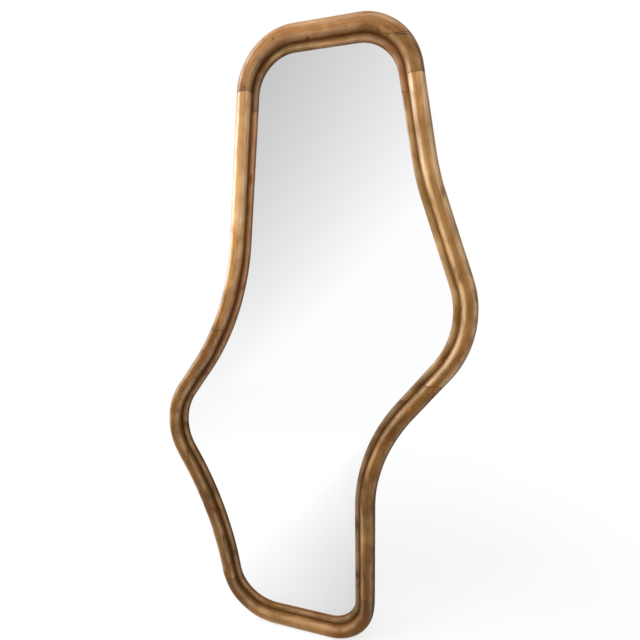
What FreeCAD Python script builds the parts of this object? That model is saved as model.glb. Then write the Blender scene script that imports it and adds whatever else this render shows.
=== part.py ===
import FreeCAD, Part
import math
import os

from FreeCAD import Vector

# An irregular wall mirror. X runs across, Z up, and Y back towards the wall. The front faces -Y.
# The origin is the middle of the outline on the flat back of the frame. Sizes are in millimetres.

# Frame outline, seen from the front. The sides are straight and meet in ten rounded corners,
# and each side keeps a short straight stretch between its two roundings.
OVERALL_HEIGHT = 1200.0
TOP_LEFT_X = -115.0
TOP_LEFT_RADIUS = 110.0
LEFT_WAIST_X = -160.0
LEFT_WAIST_Z = 103.0
LEFT_WAIST_RADIUS = 490.0
LEFT_BULGE_X = -339.0
LEFT_BULGE_Z = -139.0
LEFT_BULGE_RADIUS = 150.0
LEFT_FLANK_X = -218.0
LEFT_FLANK_Z = -350.0
LEFT_FLANK_RADIUS = 750.0
BOTTOM_LEFT_X = -179.0
BOTTOM_LEFT_RADIUS = 128.0
BOTTOM_RIGHT_X = 149.0
BOTTOM_RIGHT_RADIUS = 92.0
RIGHT_WAIST_X = 141.0
RIGHT_WAIST_Z = -179.0
RIGHT_WAIST_RADIUS = 320.0
RIGHT_BULGE_X = 333.0
RIGHT_BULGE_Z = 71.0
RIGHT_BULGE_RADIUS = 190.0
RIGHT_SHOULDER_X = 235.0
RIGHT_SHOULDER_Z = 345.0
RIGHT_SHOULDER_RADIUS = 430.0
TOP_RIGHT_X = 186.0
TOP_RIGHT_RADIUS = 110.0
LEAST_STRAIGHT = 2.0

# Frame section: a rounded bar in front, glued to a wider rear layer whose inner edge is the lip.
BAR_WIDTH = 29.0
LIP_WIDTH = 11.0
FRONT_LAYER = 12.0
REAR_LAYER = 16.0
BAR_OUTER_ROUND = 11.5
BAR_INNER_ROUND = 10.5
LIP_THICKNESS = 5.0
LIP_ROUND = 2.5
BACK_EDGE_ROUND = 2.0

# Rebates behind the lip, each wider than the piece it takes by an edge gap.
GLASS_REBATE = 8.0
BOARD_LEDGE = 9.0
EDGE_GAP = 1.0
GLASS_THICKNESS = 4.0
BOARD_THICKNESS = 4.0

# Level joints between the lengths of wood, as heights from the nearest outline corner or edge.
# Those of the rear layer are set off from those of the front one.
FRONT_TOP_LEFT_DROP = 100.0
FRONT_TOP_RIGHT_DROP = 44.0
FRONT_BLOCK_DROP = 104.0
FRONT_LEFT_DROP = 41.0
FRONT_RIGHT_RISE = 157.0
FRONT_BOTTOM_LEFT_RISE = 96.0
FRONT_BOTTOM_RIGHT_RISE = 114.0
REAR_TOP_LEFT_DROP = 132.0
REAR_TOP_RIGHT_DROP = 127.0
REAR_LEFT_DROP = 141.0
REAR_RIGHT_RISE = 122.0
REAR_BOTTOM_LEFT_RISE = 128.0
REAR_BOTTOM_RIGHT_RISE = 131.0

# Board screws: countersunk, one row round the board's edge.
BOARD_SCREW_COUNT = 16
BOARD_SCREW_LENGTH = 13.0
BOARD_SCREW_RADIUS = 1.6
BOARD_SCREW_HEAD_RADIUS = 3.2
SCREW_TIP = 3.0
HOLE_CLEARANCE = 0.05
PILOT_SPARE = 0.5

# Strap hangers: a strap rolled round the straight leg of a ring, two screws in each strap.
HANGER_DROP = 140.0
STRAP_WIDTH = 10.0
STRAP_THICKNESS = 1.2
STRAP_LENGTH = 46.0
STRAP_SCREW_SPACING = 14.0
STRAP_END = 6.0
CURL_GAP = 0.6
HANGER_SCREW_LENGTH = 14.0
HANGER_SCREW_RADIUS = 1.7
HANGER_SCREW_HEAD_RADIUS = 3.4
HANGER_SCREW_HEAD_HEIGHT = 2.0
HANGER_SCREW_CROWN_RADIUS = 2.4
RING_WIRE_RADIUS = 1.25
RING_CLEARANCE = 0.05
RING_HALF_WIDTH = 8.75
RING_CORNER_RADIUS = 3.25
RING_SIDE_LENGTH = 4.0
RING_REST_TILT = 2.0

# Wall bumpers on the bottom member.
BUMPER_RADIUS = 8.0
BUMPER_FACE_RADIUS = 6.5
BUMPER_HEIGHT = 6.0
BUMPER_SETBACK_LEFT = 80.0
BUMPER_SETBACK_RIGHT = 72.0

# Derived sizes.
TOP_EDGE = OVERALL_HEIGHT / 2
BOTTOM_EDGE = -OVERALL_HEIGHT / 2
FRAME_WIDTH = BAR_WIDTH + LIP_WIDTH
GLASS_REBATE_INSET = FRAME_WIDTH - GLASS_REBATE
BOARD_REBATE_INSET = GLASS_REBATE_INSET - BOARD_LEDGE
LIP_BACK = LIP_THICKNESS - REAR_LAYER
GLASS_BACK = LIP_BACK + GLASS_THICKNESS
PAD_THICKNESS = -BOARD_THICKNESS - GLASS_BACK
BACK_BAND_CENTRE = (BACK_EDGE_ROUND + BOARD_REBATE_INSET) / 2
PIVOT_HEIGHT = STRAP_THICKNESS + RING_CLEARANCE + RING_WIRE_RADIUS
FAR = OVERALL_HEIGHT

# How far a cutting shape runs past the face that it opens, and how near counts as on a line.
OVERCUT = 1.0
ON_LINE = 1e-3

CORNERS = [
    (TOP_LEFT_X, TOP_EDGE, TOP_LEFT_RADIUS),
    (LEFT_WAIST_X, LEFT_WAIST_Z, LEFT_WAIST_RADIUS),
    (LEFT_BULGE_X, LEFT_BULGE_Z, LEFT_BULGE_RADIUS),
    (LEFT_FLANK_X, LEFT_FLANK_Z, LEFT_FLANK_RADIUS),
    (BOTTOM_LEFT_X, BOTTOM_EDGE, BOTTOM_LEFT_RADIUS),
    (BOTTOM_RIGHT_X, BOTTOM_EDGE, BOTTOM_RIGHT_RADIUS),
    (RIGHT_WAIST_X, RIGHT_WAIST_Z, RIGHT_WAIST_RADIUS),
    (RIGHT_BULGE_X, RIGHT_BULGE_Z, RIGHT_BULGE_RADIUS),
    (RIGHT_SHOULDER_X, RIGHT_SHOULDER_Z, RIGHT_SHOULDER_RADIUS),
    (TOP_RIGHT_X, TOP_EDGE, TOP_RIGHT_RADIUS),
]

# The two upper sides, which carry the hangers, by the number of the corner that each starts from.
LEFT_UPPER_SIDE = 0
RIGHT_UPPER_SIDE = len(CORNERS) - 2


def outline_sides():
    """Start, unit direction and length of each side, from its corner to the next one."""
    sides = []
    for index, (x, z, radius) in enumerate(CORNERS):
        next_x, next_z, next_radius = CORNERS[(index + 1) % len(CORNERS)]
        along = Vector(next_x - x, 0, next_z - z)
        sides.append((Vector(x, 0, z), along.normalize(), math.hypot(next_x - x, next_z - z)))
    return sides


def inward(direction):
    """The normal of a side that points into the mirror."""
    return Vector(-direction.z, 0, direction.x)


def corner_turns(sides):
    """Angle by which the outline turns at each corner, positive where it bulges out."""
    turns = []
    for index in range(len(sides)):
        before = sides[index - 1][1]
        after = sides[index][1]
        turns.append(math.atan2(before.x * after.z - before.z * after.x, before.dot(after)))
    return turns


def rounded_radii(sides, turns):
    """The corner radii, made smaller where two roundings would leave no straight between them."""
    reach = [corner[2] * math.tan(abs(turn) / 2) for corner, turn in zip(CORNERS, turns)]
    room = []
    for index, (start, along, length) in enumerate(sides):
        both = reach[index] + reach[(index + 1) % len(sides)]
        room.append(min(1.0, (length - LEAST_STRAIGHT) / both))
    return [corner[2] * min(room[index - 1], room[index]) for index, corner in enumerate(CORNERS)]


def outline_wire(inset, depth):
    """The outline moved inwards by inset, at the Y position depth, as lines and arcs."""
    sides = outline_sides()
    turns = corner_turns(sides)
    radii = rounded_radii(sides, turns)
    arcs = []
    for index, turn in enumerate(turns):
        before = sides[index - 1][1]
        after = sides[index][1]
        bulge = math.copysign(1.0, turn)
        radius = radii[index] - bulge * inset
        mitre = (inward(before) + inward(after)) * (inset / (1 + before.dot(after)))
        corner = sides[index][0] + mitre + Vector(0, depth, 0)
        reach = radius * math.tan(abs(turn) / 2)
        start = corner - before * reach
        end = corner + after * reach
        centre = start + inward(before) * (bulge * radius)
        middle = centre + (corner - centre).normalize() * radius
        arcs.append((start, middle, end))
    edges = []
    for index, (start, middle, end) in enumerate(arcs):
        edges.append(Part.Arc(start, middle, end).toShape())
        edges.append(Part.LineSegment(end, arcs[(index + 1) % len(arcs)][0]).toShape())
    return Part.Wire(edges)


def plate(inset, front, back):
    """A flat plate of the outline's shape between two Y positions."""
    return Part.Face(outline_wire(inset, front)).extrude(Vector(0, back - front, 0))


def rim_edges(solid, inset, depth):
    """The edges of a solid that lie on the inset outline at one Y position."""
    wire = outline_wire(inset, depth)
    found = []
    for edge in solid.Edges:
        middle = edge.valueAt((edge.FirstParameter + edge.LastParameter) / 2)
        level = all(abs(vertex.Point.y - depth) < ON_LINE for vertex in edge.Vertexes)
        if level and Part.Vertex(middle).distToShape(wire)[0] < ON_LINE:
            found.append(edge)
    return found


def front_ring():
    """The rounded bar, as one ring before it is cut into lengths."""
    front = -REAR_LAYER - FRONT_LAYER
    ring = plate(0, front, -REAR_LAYER).cut(plate(BAR_WIDTH, front - OVERCUT, OVERCUT - REAR_LAYER))
    ring = ring.makeFillet(BAR_OUTER_ROUND, rim_edges(ring, 0, front))
    return ring.makeFillet(BAR_INNER_ROUND, rim_edges(ring, BAR_WIDTH, front))


def rear_ring():
    """The rear layer with its lip and both rebates, as one ring before it is cut into lengths."""
    ring = plate(0, -REAR_LAYER, 0).cut(plate(FRAME_WIDTH, -REAR_LAYER - OVERCUT, OVERCUT))
    ring = ring.makeFillet(LIP_ROUND, rim_edges(ring, FRAME_WIDTH, -REAR_LAYER))
    ring = ring.makeFillet(BACK_EDGE_ROUND, rim_edges(ring, 0, 0))
    ring = ring.cut(plate(GLASS_REBATE_INSET, LIP_BACK, OVERCUT))
    return ring.cut(plate(BOARD_REBATE_INSET, -BOARD_THICKNESS, OVERCUT))


def region(x_low, x_high, z_low, z_high):
    """A block that covers one stretch of the frame through its whole depth."""
    return Part.makeBox(x_high - x_low, 2 * FAR, z_high - z_low, Vector(x_low, -FAR, z_low))


def cut_length(ring, block):
    """The one solid of the ring that lies inside a block."""
    solids = ring.common(block).Solids
    if len(solids) != 1:
        raise ValueError("a length of the frame came out as %d solids" % len(solids))
    return solids[0]


def ring_lengths(ring, left, right, layer, side_names):
    """Cut a ring at level joints, given as falling heights on its left and on its right."""
    middle = (TOP_LEFT_X + TOP_RIGHT_X + BOTTOM_LEFT_X + BOTTOM_RIGHT_X) / 4
    top = region(-FAR, middle, left[0], FAR).fuse(region(middle, FAR, right[0], FAR))
    bottom = region(-FAR, middle, -FAR, left[-1]).fuse(region(middle, FAR, -FAR, right[-1]))
    lengths = {
        layer + "_top_rail": cut_length(ring, top),
        layer + "_bottom_rail": cut_length(ring, bottom),
    }
    for name, high, low in zip(side_names[0], left, left[1:]):
        lengths[layer + name] = cut_length(ring, region(-FAR, middle, low, high))
    for name, high, low in zip(side_names[1], right, right[1:]):
        lengths[layer + name] = cut_length(ring, region(middle, FAR, low, high))
    return lengths


def front_lengths():
    """The lengths of the rounded bar."""
    left = [
        TOP_EDGE - FRONT_TOP_LEFT_DROP,
        LEFT_WAIST_Z - FRONT_LEFT_DROP,
        BOTTOM_EDGE + FRONT_BOTTOM_LEFT_RISE,
    ]
    right = [
        TOP_EDGE - FRONT_TOP_RIGHT_DROP,
        TOP_EDGE - FRONT_BLOCK_DROP,
        RIGHT_WAIST_Z + FRONT_RIGHT_RISE,
        BOTTOM_EDGE + FRONT_BOTTOM_RIGHT_RISE,
    ]
    names = (
        ["_left_rail", "_lower_left_rail"],
        ["_top_right_block", "_right_rail", "_lower_right_rail"],
    )
    return ring_lengths(front_ring(), left, right, "front", names)


def rear_lengths(holes):
    """The lengths of the rear layer, with the screws' holes in them."""
    left = [
        TOP_EDGE - REAR_TOP_LEFT_DROP,
        LEFT_WAIST_Z - REAR_LEFT_DROP,
        BOTTOM_EDGE + REAR_BOTTOM_LEFT_RISE,
    ]
    right = [
        TOP_EDGE - REAR_TOP_RIGHT_DROP,
        RIGHT_WAIST_Z + REAR_RIGHT_RISE,
        BOTTOM_EDGE + REAR_BOTTOM_RIGHT_RISE,
    ]
    names = (["_left_rail", "_lower_left_rail"], ["_right_rail", "_lower_right_rail"])
    return ring_lengths(rear_ring().cut(holes), left, right, "rear", names)


def turned(profile):
    """A solid of revolution about the Y axis from (radius, Y) points."""
    points = [Vector(radius, y, 0) for radius, y in profile]
    face = Part.Face(Part.makePolygon(points + points[:1]))
    return face.revolve(Vector(0, 0, 0), Vector(0, 1, 0), 360)


def board_screw(clearance, spare):
    """A countersunk screw with its head flush at Y 0, or its hole where it is given clearance."""
    head = BOARD_SCREW_HEAD_RADIUS + clearance
    shank = BOARD_SCREW_RADIUS + clearance
    end = -BOARD_SCREW_LENGTH - spare
    return turned([
        (0, 0),
        (head, 0),
        (shank, shank - head),
        (shank, end + SCREW_TIP),
        (0, end),
    ])


def hanger_screw(clearance, spare):
    """A round-headed screw with its head's seat at Y 0, or its hole where it is given clearance."""
    shank = HANGER_SCREW_RADIUS + clearance
    end = -HANGER_SCREW_LENGTH - spare
    profile = [(0, 0), (shank, 0), (shank, end + SCREW_TIP), (0, end)]
    if clearance:
        return turned(profile)
    head = turned([
        (0, 0),
        (HANGER_SCREW_HEAD_RADIUS, 0),
        (HANGER_SCREW_HEAD_RADIUS, HANGER_SCREW_HEAD_HEIGHT / 2),
        (HANGER_SCREW_CROWN_RADIUS, HANGER_SCREW_HEAD_HEIGHT),
        (0, HANGER_SCREW_HEAD_HEIGHT),
    ])
    return turned(profile).fuse(head).removeSplitter()


def placed_at(shape, points):
    """Copies of a shape at several points, as one compound."""
    copies = []
    for point in points:
        copy = shape.copy()
        copy.translate(point)
        copies.append(copy)
    return Part.Compound(copies)


def board_screw_points():
    """Evenly spaced points on the middle of the ledge, on the board's back face."""
    inset = BOARD_REBATE_INSET + (EDGE_GAP + BOARD_LEDGE) / 2
    return outline_wire(inset, 0).discretize(Number=BOARD_SCREW_COUNT + 1)[:-1]


def hanger_placement(side):
    """Where a hanger's pivot goes on a straight side of the frame, with its strap along the side."""
    start, along, length = outline_sides()[side]
    drop = (TOP_EDGE - HANGER_DROP - start.z) / along.z
    place = start + along * drop + inward(along) * BACK_BAND_CENTRE + Vector(0, PIVOT_HEIGHT, 0)
    down = along if along.z < 0 else along * -1
    slant = math.degrees(math.atan2(-down.x, -down.z))
    return FreeCAD.Placement(place, FreeCAD.Rotation(Vector(0, 1, 0), slant))


def strap_screw_points():
    """The two screws of a strap, seated on its outer face, below its pivot."""
    seat = STRAP_THICKNESS - PIVOT_HEIGHT
    low = STRAP_END - STRAP_LENGTH
    return [Vector(0, seat, low), Vector(0, seat, low + STRAP_SCREW_SPACING)]


def hanger_strap():
    """A strap lying on the frame, with its upper end rolled round the pivot at the origin."""
    half = STRAP_WIDTH / 2
    end = half - STRAP_LENGTH
    flat = Part.makeBox(STRAP_WIDTH, STRAP_THICKNESS, -end, Vector(-half, -PIVOT_HEIGHT, end))
    tip = Part.makeCylinder(half, STRAP_THICKNESS, Vector(0, -PIVOT_HEIGHT, end), Vector(0, 1, 0))
    curl = Part.makeCylinder(PIVOT_HEIGHT, STRAP_WIDTH, Vector(-half, 0, 0), Vector(1, 0, 0))
    through = STRAP_WIDTH + 2 * OVERCUT
    eye = Part.makeCylinder(
        RING_WIRE_RADIUS + RING_CLEARANCE, through, Vector(-through / 2, 0, 0), Vector(1, 0, 0)
    )
    below = PIVOT_HEIGHT + OVERCUT
    mouth = Part.makeBox(
        through, CURL_GAP, below, Vector(-through / 2, STRAP_THICKNESS - PIVOT_HEIGHT, -below)
    )
    strap = flat.fuse([tip, curl]).cut(eye).cut(mouth).removeSplitter()
    strap = strap.cut(placed_at(hanger_screw(HOLE_CLEARANCE, 0), strap_screw_points()))
    return strap.Solids[0]


def hanger_ring():
    """A wire ring with a straight leg on the pivot, square sides and a round end, hanging down."""
    leg = RING_HALF_WIDTH - RING_CORNER_RADIUS
    side_end = -RING_CORNER_RADIUS - RING_SIDE_LENGTH
    bend = RING_CORNER_RADIUS * (1 - math.sqrt(0.5))
    half = RING_HALF_WIDTH
    edges = [
        Part.LineSegment(Vector(-leg, 0, 0), Vector(leg, 0, 0)),
        Part.Arc(Vector(leg, 0, 0), Vector(half - bend, 0, -bend), Vector(half, 0, -RING_CORNER_RADIUS)),
        Part.LineSegment(Vector(half, 0, -RING_CORNER_RADIUS), Vector(half, 0, side_end)),
        Part.Arc(Vector(half, 0, side_end), Vector(0, 0, side_end - half), Vector(-half, 0, side_end)),
        Part.LineSegment(Vector(-half, 0, side_end), Vector(-half, 0, -RING_CORNER_RADIUS)),
        Part.Arc(
            Vector(-half, 0, -RING_CORNER_RADIUS), Vector(bend - half, 0, -bend), Vector(-leg, 0, 0)
        ),
    ]
    path = Part.Wire([edge.toShape() for edge in edges])
    section = Part.Wire(Part.makeCircle(RING_WIRE_RADIUS, Vector(0, 0, 0), Vector(1, 0, 0)))
    section.translate(Vector(-leg, 0, 0))
    ring = path.makePipeShell([section], True, True)
    ring.rotate(Vector(0, 0, 0), Vector(1, 0, 0), RING_REST_TILT)
    return ring


def wall_bumper():
    """A round rubber foot on the frame's back, narrower at the wall."""
    return turned([(0, 0), (BUMPER_RADIUS, 0), (BUMPER_FACE_RADIUS, BUMPER_HEIGHT), (0, BUMPER_HEIGHT)])


def moved(shape, placement):
    """A copy of a shape taken from the pivot's own frame to its place on the mirror."""
    copy = shape.copy()
    copy.Placement = placement.multiply(copy.Placement)
    return copy


def build():
    """All sub-parts by name."""
    hangers = {
        "left": hanger_placement(LEFT_UPPER_SIDE),
        "right": hanger_placement(RIGHT_UPPER_SIDE),
    }
    screw_points = board_screw_points()
    pilot = placed_at(board_screw(HOLE_CLEARANCE, PILOT_SPARE), screw_points)
    strap_pilot = placed_at(hanger_screw(HOLE_CLEARANCE, PILOT_SPARE), strap_screw_points())
    holes = [pilot] + [moved(strap_pilot, placement) for placement in hangers.values()]
    parts = front_lengths()
    parts.update(rear_lengths(Part.Compound(holes)))
    parts["mirror_pane"] = plate(GLASS_REBATE_INSET + EDGE_GAP, LIP_BACK, GLASS_BACK)
    parts["cardboard_pad"] = plate(
        GLASS_REBATE_INSET + EDGE_GAP, GLASS_BACK, GLASS_BACK + PAD_THICKNESS
    )
    parts["backing_board"] = plate(BOARD_REBATE_INSET + EDGE_GAP, -BOARD_THICKNESS, 0).cut(pilot)
    parts["board_screws"] = placed_at(board_screw(0, 0), screw_points)
    strap_screws = placed_at(hanger_screw(0, 0), strap_screw_points())
    parts["hanger_screws"] = Part.Compound([moved(strap_screws, place) for place in hangers.values()])
    for side, placement in hangers.items():
        parts["hanger_strap_" + side] = moved(hanger_strap(), placement)
        parts["hanger_ring_" + side] = moved(hanger_ring(), placement)
        axis = placement.Rotation.multVec(Vector(1, 0, 0))
        print("pivot", side, tuple(round(value, 3) for value in placement.Base), tuple(axis))
    bumper_z = BOTTOM_EDGE + BACK_BAND_CENTRE
    left_foot = Vector(BOTTOM_LEFT_X + BUMPER_SETBACK_LEFT, 0, bumper_z)
    right_foot = Vector(BOTTOM_RIGHT_X - BUMPER_SETBACK_RIGHT, 0, bumper_z)
    parts["wall_bumper_left"] = placed_at(wall_bumper(), [left_foot])
    parts["wall_bumper_right"] = placed_at(wall_bumper(), [right_foot])
    return parts


os.makedirs("parts", exist_ok=True)
for node, shape in build().items():
    shape.exportStep("parts/" + node + ".step")
    box = shape.BoundBox
    print("%-24s solids %2d valid %s volume %10.0f  x %.1f..%.1f y %.1f..%.1f z %.1f..%.1f" % (
        node, len(shape.Solids), shape.isValid(), shape.Volume,
        box.XMin, box.XMax, box.YMin, box.YMax, box.ZMin, box.ZMax,
    ))
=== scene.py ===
import logging
import math
from dataclasses import dataclass, field
from enum import Enum
from functools import cached_property

import bpy
import numpy as np
from mathutils import Matrix, Vector


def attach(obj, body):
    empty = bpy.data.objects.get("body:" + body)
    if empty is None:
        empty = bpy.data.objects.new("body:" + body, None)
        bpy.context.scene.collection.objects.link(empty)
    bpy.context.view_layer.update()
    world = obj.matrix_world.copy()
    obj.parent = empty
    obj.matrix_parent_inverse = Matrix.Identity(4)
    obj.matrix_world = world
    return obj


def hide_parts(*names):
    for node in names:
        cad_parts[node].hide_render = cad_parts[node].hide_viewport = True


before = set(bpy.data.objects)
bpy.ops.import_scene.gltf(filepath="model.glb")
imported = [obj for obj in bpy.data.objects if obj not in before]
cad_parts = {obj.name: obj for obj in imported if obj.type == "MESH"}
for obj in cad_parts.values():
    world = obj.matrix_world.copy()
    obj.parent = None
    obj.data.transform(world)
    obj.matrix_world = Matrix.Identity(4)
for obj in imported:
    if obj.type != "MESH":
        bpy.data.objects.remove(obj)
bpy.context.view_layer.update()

MM = 0.001
FRONT_LAYER = 12.0
REAR_LAYER = 16.0
WHITE = (1.0, 1.0, 1.0, 1.0)
log = logging.getLogger("mirror")

Triple = tuple[float, float, float]
Colour = tuple[float, float, float, float]


def linear(red: float, green: float, blue: float) -> Colour:
    """The scene colour for a display colour given in steps of 0 to 255.

    Args:
        red: Red step.
        green: Green step.
        blue: Blue step.

    Returns:
        Linear red, green and blue, and an alpha of 1.
    """
    steps = np.array([red, green, blue]) / 255.0
    values = np.where(steps <= 0.04045, steps / 12.92, ((steps + 0.055) / 1.055) ** 2.4)
    return (float(values[0]), float(values[1]), float(values[2]), 1.0)


# ---------------------------------------------------------------- shader expressions


class Wire:
    """A number socket of a node, usable in Python sums, products and comparisons."""

    def __init__(self, board: "Shader", socket: object) -> None:
        """Keep the socket and the shader that it belongs to."""
        self.board = board
        self.socket = socket

    def math(self, operation: str, *others: object, flip: bool = False) -> "Wire":
        """Add one Math node.

        Args:
            operation: Name of the Math node's operation.
            others: Further operands, as wires or numbers.
            flip: Put this wire last instead of first.

        Returns:
            The node's result.
        """
        terms = [*others, self] if flip else [self, *others]
        values = dict(enumerate(terms))
        return self.board.node("ShaderNodeMath", {"operation": operation}, values)

    def __add__(self, other: object) -> "Wire":
        """This plus other."""
        return self.math("ADD", other)

    def __sub__(self, other: object) -> "Wire":
        """This minus other."""
        return self.math("SUBTRACT", other)

    def __rsub__(self, other: object) -> "Wire":
        """Other minus this."""
        return self.math("SUBTRACT", other, flip=True)

    def __mul__(self, other: object) -> "Wire":
        """This times other."""
        return self.math("MULTIPLY", other)

    def __truediv__(self, other: object) -> "Wire":
        """This over other."""
        return self.math("DIVIDE", other)

    def __pow__(self, other: object) -> "Wire":
        """This to the power of other."""
        return self.math("POWER", other)

    __radd__ = __add__
    __rmul__ = __mul__

    def sine(self) -> "Wire":
        """The sine of this, in radians."""
        return self.math("SINE")

    def step(self, low: float, high: float) -> "Wire":
        """A smooth rise from 0 at low to 1 at high, or a fall where low is the larger.

        Args:
            low: Where it is 0.
            high: Where it is 1.

        Returns:
            The smooth step.
        """
        settings = {"interpolation_type": "SMOOTHSTEP"}
        ends = {"Value": self, "From Min": low, "From Max": high}
        return self.board.node("ShaderNodeMapRange", settings, ends)

    def larger(self, other: "Wire") -> "Wire":
        """The larger of this and other."""
        return self.math("MAXIMUM", other)

    def within(self, low: float = 0.0, high: float = 1.0) -> "Wire":
        """This, held between low and high."""
        return self.math("MAXIMUM", low).math("MINIMUM", high)


class Shader:
    """The nodes of a material or of the world, with short calls for those that are used."""

    def __init__(self, owner: bpy.types.Material | bpy.types.World) -> None:
        """Empty the owner's node tree.

        Args:
            owner: The material or the world.
        """
        owner.use_nodes = True
        self.owner = owner
        self.tree = owner.node_tree
        self.tree.nodes.clear()

    @classmethod
    def material(cls, name: str) -> "Shader":
        """The nodes of a new material."""
        return cls(bpy.data.materials.new(name))

    def node(
        self,
        kind: str,
        settings: dict[str, object],
        inputs: dict[object, object],
        output: object = 0,
    ) -> Wire:
        """Add any node: its settings first, then its sockets' values or links.

        Args:
            kind: The node's type.
            settings: Attributes of the node, or "stops" for a colour ramp.
            inputs: Wires, numbers or colours by socket name or number.
            output: Name or number of the socket to return.

        Returns:
            The output as a wire.
        """
        made = self.tree.nodes.new(kind)
        for key, value in settings.items():
            if key == "stops":
                self.fill_ramp(made.color_ramp, value)
            else:
                setattr(made, key, value)
        for key, value in inputs.items():
            if isinstance(value, Wire):
                self.tree.links.new(value.socket, made.inputs[key])
            else:
                made.inputs[key].default_value = value
        return Wire(self, made.outputs[output])

    @staticmethod
    def fill_ramp(ramp: object, stops: tuple[tuple[float, tuple[float, ...]], ...]) -> None:
        """Set a colour ramp's stops.

        Args:
            ramp: The node's ramp.
            stops: Position and colour of each stop, in rising order.
        """
        while len(ramp.elements) < len(stops):
            ramp.elements.new(0.5)
        for element, (position, colour) in zip(ramp.elements, stops):
            element.position = position
            element.color = colour

    def coordinates(self, kind: str) -> Wire:
        """One kind of coordinates."""
        return self.node("ShaderNodeTexCoord", {}, {}, kind)

    @cached_property
    def place(self) -> Wire:
        """Each point's own place, in metres."""
        return self.coordinates("Object")

    def rays(self, kind: str) -> Wire:
        """1 for one kind of ray, such as "Camera", and 0 for the others."""
        return self.node("ShaderNodeLightPath", {}, {}, f"Is {kind} Ray")

    def noise(self, spot: Wire, scale: float, detail: float = 3.0, twist: float = 0.0) -> Wire:
        """Noise between 0 and 1 at a place, with features of about 1/scale metres."""
        values = {"Vector": spot, "Scale": scale, "Detail": detail, "Distortion": twist}
        return self.node("ShaderNodeTexNoise", {}, values, "Fac")

    def vector(self, operation: str, spot: Wire, other: Triple, output: object = 0) -> Wire:
        """One Vector Math node on a place and three numbers."""
        settings = {"operation": operation}
        return self.node("ShaderNodeVectorMath", settings, {0: spot, 1: other}, output)

    def scaled(self, spot: Wire, by: Triple) -> Wire:
        """A place with each of its coordinates multiplied."""
        return self.vector("MULTIPLY", spot, by)

    def moved(self, spot: Wire, by: Triple) -> Wire:
        """A place with a fixed step added."""
        return self.vector("ADD", spot, by)

    def distance(self, spot: Wire, centre: Triple) -> Wire:
        """How far a place is from a fixed point."""
        return self.vector("DISTANCE", spot, centre, "Value")

    def turned(self, spot: Wire, angle: float, lean: float) -> Wire:
        """A place with its first axis turned towards the second and then the third one."""
        values = {"Vector": spot, "Rotation": (0.0, lean, angle)}
        return self.node("ShaderNodeMapping", {"vector_type": "TEXTURE"}, values)

    def axis(self, spot: Wire, name: str) -> Wire:
        """One coordinate of a place."""
        return self.node("ShaderNodeSeparateXYZ", {}, {0: spot}, name)

    def painted(self, name: str, output: str = "Fac") -> Wire:
        """A value, or with output "Vector" a place, that the mesh carries at its points."""
        return self.node("ShaderNodeAttribute", {"attribute_name": name}, {}, output)

    def ramp(self, value: Wire, stops: tuple[tuple[float, tuple[float, ...]], ...]) -> Wire:
        """A colour picked along a ramp."""
        return self.node("ShaderNodeValToRGB", {"stops": stops}, {"Fac": value}, "Color")

    def blend(self, share: Wire | float, first: object, second: object) -> Wire:
        """Two colours mixed, with the second one's share.

        The Mix node's sockets share their names, so they go by number: 0 is the share, 6 and 7
        are the colours, and 2 is the result.
        """
        settings = {"data_type": "RGBA", "clamp_factor": True}
        return self.node("ShaderNodeMix", settings, {0: share, 6: first, 7: second}, 2)

    def bump(self, height: Wire, strength: float, depth: float) -> Wire:
        """A normal that follows a height, whose full range is depth metres."""
        values = {"Height": height, "Strength": strength, "Distance": depth}
        return self.node("ShaderNodeBump", {}, values, "Normal")

    def close(self, surface: Wire, end_kind: str = "ShaderNodeOutputMaterial") -> None:
        """Join a surface to the output node."""
        end = self.tree.nodes.new(end_kind)
        self.tree.links.new(surface.socket, end.inputs["Surface"])

    def finish(self, inputs: dict[str, object]) -> bpy.types.Material:
        """Give the material its principled surface.

        Args:
            inputs: Wires, numbers or colours by the name of the principled socket.

        Returns:
            The finished material.
        """
        self.close(self.node("ShaderNodeBsdfPrincipled", {}, inputs, "BSDF"))
        return self.owner


# ---------------------------------------------------------------- finishes


@dataclass(frozen=True)
class Knot:
    """A knot in the wood, at a place on the front in millimetres."""

    x: float
    z: float
    radius: float


@dataclass(frozen=True)
class Stain:
    """A small patch of another colour on the front, at a place in millimetres."""

    x: float
    z: float
    radius: float
    colour: Colour
    share: float


@dataclass(frozen=True)
class Split:
    """A fine dark split in the front, between two places in millimetres."""

    start: tuple[float, float]
    end: tuple[float, float]
    width: float


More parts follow.
